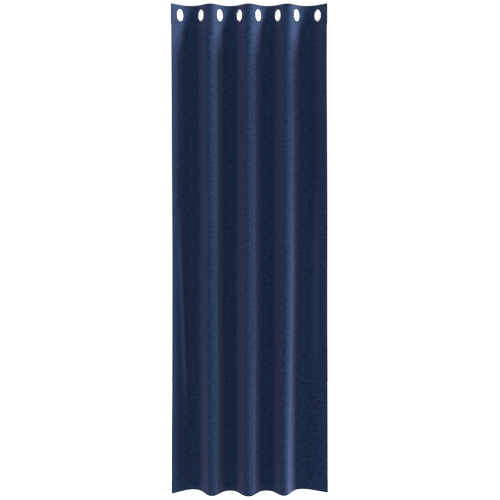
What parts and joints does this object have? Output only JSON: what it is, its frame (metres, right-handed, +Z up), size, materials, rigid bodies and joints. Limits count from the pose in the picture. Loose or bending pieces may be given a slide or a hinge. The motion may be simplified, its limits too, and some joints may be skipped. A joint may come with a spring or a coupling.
{
  "type": "eyelet curtain",
  "caption": "Full-length velvet eyelet curtain panel hanging in even waves from a doubled heading with round metal eyelets.",
  "frame": {"origin": "middle of the top edge, straight above the rod's line, which runs 55 mm below it along X", "axes": "+X along the rod to the right as seen from the room, +Y towards the window, -Y towards the room, +Z up"},
  "size_m": [0.8385, 0.1778, 2.6],
  "materials": {
    "velvet": "short-pile velvet, matt with a soft sheen along the folds",
    "eyelet_metal": "pale satin silver plating"
  },
  "bodies": {
    "root": {"panel": "velvet", "heading": "velvet", "eyelet_front_1": "eyelet_metal", "eyelet_back_1": "eyelet_metal", "eyelet_front_2": "eyelet_metal", "eyelet_back_2": "eyelet_metal", "eyelet_front_3": "eyelet_metal", "eyelet_back_3": "eyelet_metal", "eyelet_front_4": "eyelet_metal", "eyelet_back_4": "eyelet_metal", "eyelet_front_5": "eyelet_metal", "eyelet_back_5": "eyelet_metal", "eyelet_front_6": "eyelet_metal", "eyelet_back_6": "eyelet_metal", "eyelet_front_7": "eyelet_metal", "eyelet_back_7": "eyelet_metal", "eyelet_front_8": "eyelet_metal", "eyelet_back_8": "eyelet_metal"}
  },
  "joints": []
}
